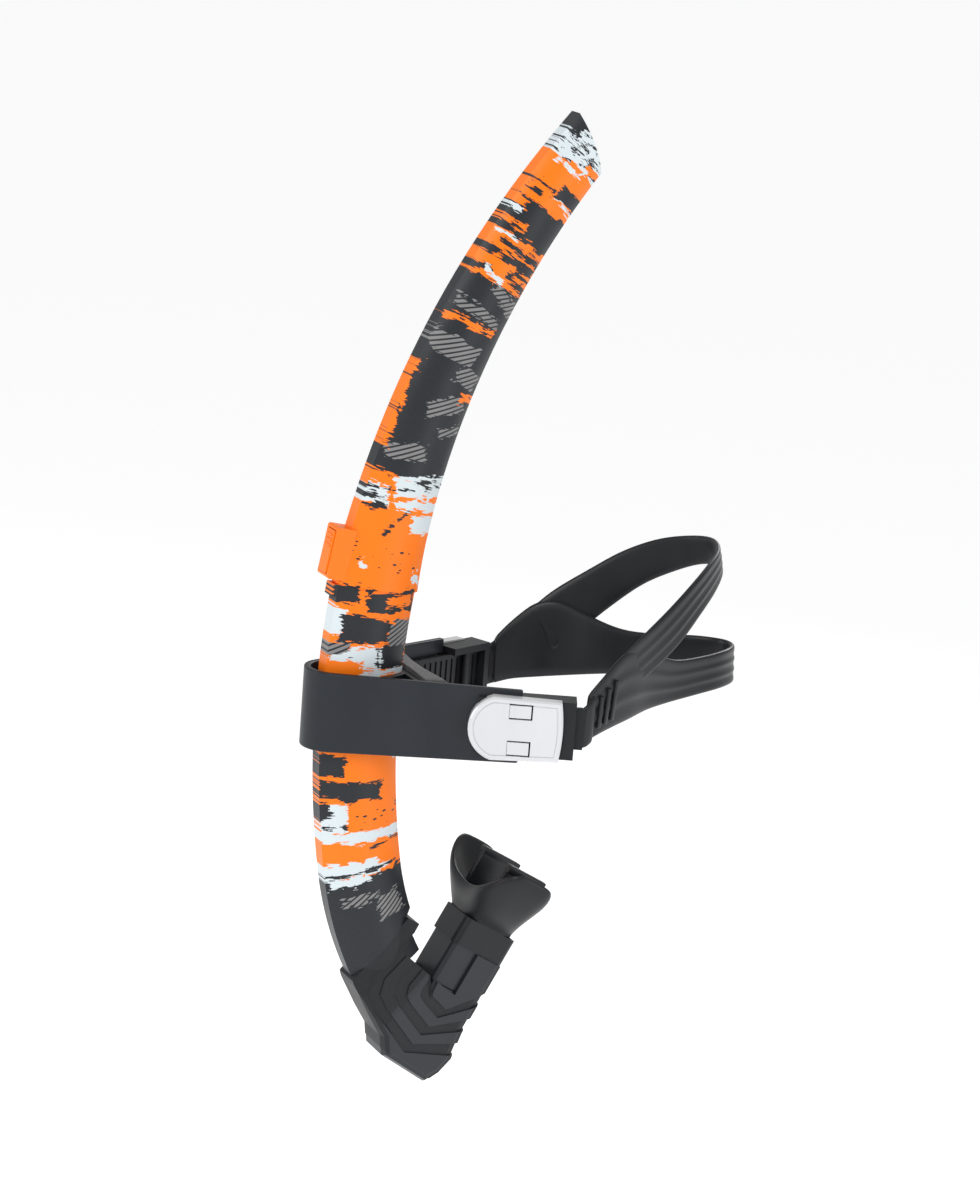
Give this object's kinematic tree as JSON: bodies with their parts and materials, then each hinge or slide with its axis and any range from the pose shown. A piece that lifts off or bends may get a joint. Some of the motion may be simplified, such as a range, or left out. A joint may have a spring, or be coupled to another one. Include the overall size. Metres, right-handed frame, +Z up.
{
  "type": "snorkel",
  "caption": "Centre-mount swimmer's snorkel: curved printed tube in a V-shaped head bracket with a head strap, rubber-sleeved elbow with purge valve, and mouthpiece.",
  "frame": {"origin": "middle of the forehead pad's rear face, where it rests on the forehead", "axes": "+X to the back of the swimmer's head, +Y to the swimmer's right, +Z up the tube to its open end"},
  "size_m": [0.2128, 0.1176, 0.441],
  "materials": {
    "tube_print": "satin printed film, orange, charcoal and pale grey",
    "black_plastic": "satin moulded",
    "white_gloss": "glossy moulded",
    "elbow_plastic": "smooth dark bluish grey",
    "sleeve_rubber": "matte rubber with raised chevrons",
    "silicone": "soft black silicone",
    "pad_foam": "soft moulded pad",
    "spring_steel": "bright"
  },
  "bodies": {
    "bracket": {"head_bracket": "black_plastic", "tube_saddle": "black_plastic", "forehead_pad": "pad_foam", "buckle_base_left": "black_plastic", "buckle_base_right": "black_plastic", "buckle_cover_left": "white_gloss", "buckle_cover_right": "white_gloss", "buckle_pin_left": "black_plastic", "buckle_pin_right": "black_plastic"},
    "tube": {"lower_tube": "tube_print", "tube_seal": "silicone", "elbow_body": "elbow_plastic", "elbow_sleeve": "sleeve_rubber", "purge_seat": "elbow_plastic", "purge_cover": "elbow_plastic", "mouthpiece_tube": "elbow_plastic", "leg_seal": "silicone", "neck_band": "black_plastic", "mouthpiece": "silicone"},
    "upper": {"upper_tube": "tube_print", "latch_spring": "spring_steel"},
    "latch": {"latch_button": "black_plastic"},
    "purge": {"purge_disc": "silicone"},
    "upper_finger_left": {"upper_finger_left": "white_gloss"},
    "lower_finger_left": {"lower_finger_left": "white_gloss"},
    "upper_finger_right": {"upper_finger_right": "white_gloss"},
    "lower_finger_right": {"lower_finger_right": "white_gloss"},
    "strap_back": {"strap_lower_band": "silicone", "strap_upper_band": "silicone"},
    "strap_left": {"strap_end_left": "silicone"},
    "strap_right": {"strap_end_right": "silicone"}
  },
  "joints": [
    {"name": "tube_height", "type": "hinge", "parent": "bracket", "child": "tube", "pos_m": [0.373, 0, -0.0036], "axis": [0, 1, 0], "range_deg": [-3, 4]},
    {"name": "upper_tube_pull", "type": "hinge", "parent": "tube", "child": "upper", "pos_m": [0.373, 0, -0.0036], "axis": [0, 1, 0], "range_deg": [0, 3]},
    {"name": "latch_press", "type": "slide", "parent": "upper", "child": "latch", "axis": [0.985, 0, -0.1728], "range_m": [0, 0.0015], "stiffness_N_per_m": 300, "deforming": ["latch_spring"]},
    {"name": "purge_valve_lift", "type": "slide", "parent": "tube", "child": "purge", "axis": [-0.5608, 0, -0.8279], "range_m": [0, 0.0016], "stiffness_N_per_m": 60},
    {"name": "upper_finger_left_press", "type": "hinge", "parent": "bracket", "child": "upper_finger_left", "pos_m": [0.02109, -0.04872, 0.0083], "axis": [0, 0, 1], "range_deg": [0, 6], "stiffness_Nm_per_rad": 0.02},
    {"name": "lower_finger_left_press", "type": "hinge", "parent": "bracket", "child": "lower_finger_left", "pos_m": [0.02109, -0.04872, -0.0083], "axis": [0, 0, 1], "range_deg": [0, 6], "stiffness_Nm_per_rad": 0.02},
    {"name": "upper_finger_right_press", "type": "hinge", "parent": "bracket", "child": "upper_finger_right", "pos_m": [0.02109, 0.04872, 0.0083], "axis": [0, 0, -1], "range_deg": [0, 6], "stiffness_Nm_per_rad": 0.02},
    {"name": "lower_finger_right_press", "type": "hinge", "parent": "bracket", "child": "lower_finger_right", "pos_m": [0.02109, 0.04872, -0.0083], "axis": [0, 0, -1], "range_deg": [0, 6], "stiffness_Nm_per_rad": 0.02},
    {"name": "strap_let_out", "type": "slide", "parent": "bracket", "child": "strap_back", "axis": [1, 0, 0], "range_m": [0, 0.02]},
    {"name": "strap_left_follow", "type": "slide", "parent": "strap_back", "child": "strap_left", "axis": [0, -1, 0], "range_m": [0, 0.009]},
    {"name": "strap_right_follow", "type": "slide", "parent": "strap_back", "child": "strap_right", "axis": [0, 1, 0], "range_m": [0, 0.009]}
  ],
  "couplings": [
    {"joint": "strap_left_follow", "follows": "strap_let_out", "ratio": 0.4452},
    {"joint": "strap_right_follow", "follows": "strap_let_out", "ratio": 0.4452}
  ]
}
